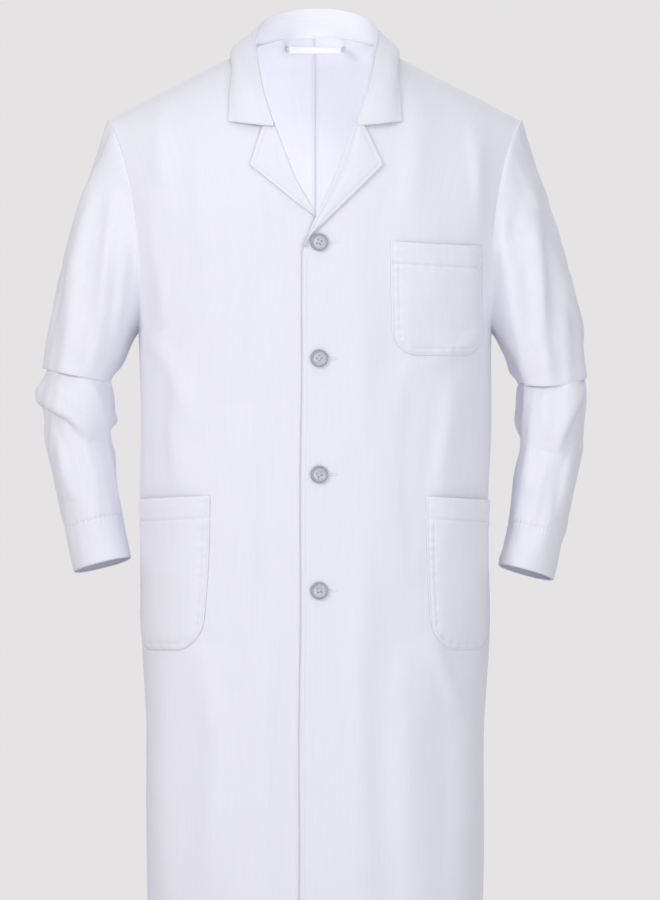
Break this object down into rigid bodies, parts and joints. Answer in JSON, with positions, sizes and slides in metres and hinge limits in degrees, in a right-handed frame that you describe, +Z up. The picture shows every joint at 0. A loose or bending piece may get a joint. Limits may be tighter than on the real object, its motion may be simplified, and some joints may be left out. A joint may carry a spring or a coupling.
{
  "type": "lab coat",
  "caption": "Knee-length lab coat with notched collar, buttoned front, patch pockets and long sleeves; the fronts open, the sleeves lift and bend.",
  "frame": {"origin": "on the centre plane, level with the two neck points, above the middle of the wearer's shoulders", "axes": "+Z up along the wearer, -Y out of the front, +X towards the wearer's left"},
  "size_m": [0.616, 0.244, 1.077],
  "materials": {
    "cloth": "fine white twill",
    "lining_side": "the same twill, seen inside",
    "button": "grey, slightly clear, with a raised rim",
    "thread": "sewing thread"
  },
  "bodies": {
    "coat": {"back_vent_underlap": "cloth", "button_1": "button", "button_2": "button", "button_thread_1": "thread", "button_thread_2": "thread", "chest_pocket": "cloth", "collar_leaf": "cloth", "collar_stand": "lining_side", "hanger_loop": "lining_side", "left_back_panel": "cloth", "left_front_panel": "cloth", "left_lapel": "cloth", "left_lower_pocket": "cloth", "right_back_panel": "cloth", "right_front_panel": "cloth", "right_lapel": "cloth", "right_lower_pocket": "cloth"},
    "left_front": {"left_front_flap": "cloth", "left_front_facing": "cloth"},
    "right_front": {"right_front_flap": "cloth", "right_front_facing": "cloth", "button_3": "button", "button_4": "button", "button_thread_3": "thread", "button_thread_4": "thread"},
    "left_arm": {"left_upper_sleeve": "cloth"},
    "left_forearm": {"left_lower_sleeve": "cloth", "left_cuff_facing": "lining_side"},
    "right_arm": {"right_upper_sleeve": "cloth"},
    "right_forearm": {"right_lower_sleeve": "cloth", "right_cuff_facing": "lining_side"}
  },
  "joints": [
    {"name": "left_front_open", "type": "hinge", "parent": "coat", "child": "left_front", "pos_m": [0.112, -0.1196, -0.56], "axis": [0, 0, 1], "range_deg": [0, 80]},
    {"name": "right_front_open", "type": "hinge", "parent": "coat", "child": "right_front", "pos_m": [-0.112, -0.1196, -0.56], "axis": [0, 0, -1], "range_deg": [0, 24.5]},
    {"name": "left_sleeve_raise", "type": "hinge", "parent": "coat", "child": "left_arm", "pos_m": [0.2348, 0, -0.078], "axis": [0, -1, 0], "range_deg": [0, 50]},
    {"name": "left_elbow_bend", "type": "hinge", "parent": "left_arm", "child": "left_forearm", "pos_m": [0.269, -0.0643, -0.3824], "axis": [-1, 0, 0], "range_deg": [0, 90]},
    {"name": "right_sleeve_raise", "type": "hinge", "parent": "coat", "child": "right_arm", "pos_m": [-0.2348, 0, -0.078], "axis": [0, 1, 0], "range_deg": [0, 50]},
    {"name": "right_elbow_bend", "type": "hinge", "parent": "right_arm", "child": "right_forearm", "pos_m": [-0.269, -0.0643, -0.3824], "axis": [-1, 0, 0], "range_deg": [0, 90]}
  ],
  "couplings": [
    {"joint": "right_front_open", "follows": "left_front_open", "ratio": 0.3}
  ]
}
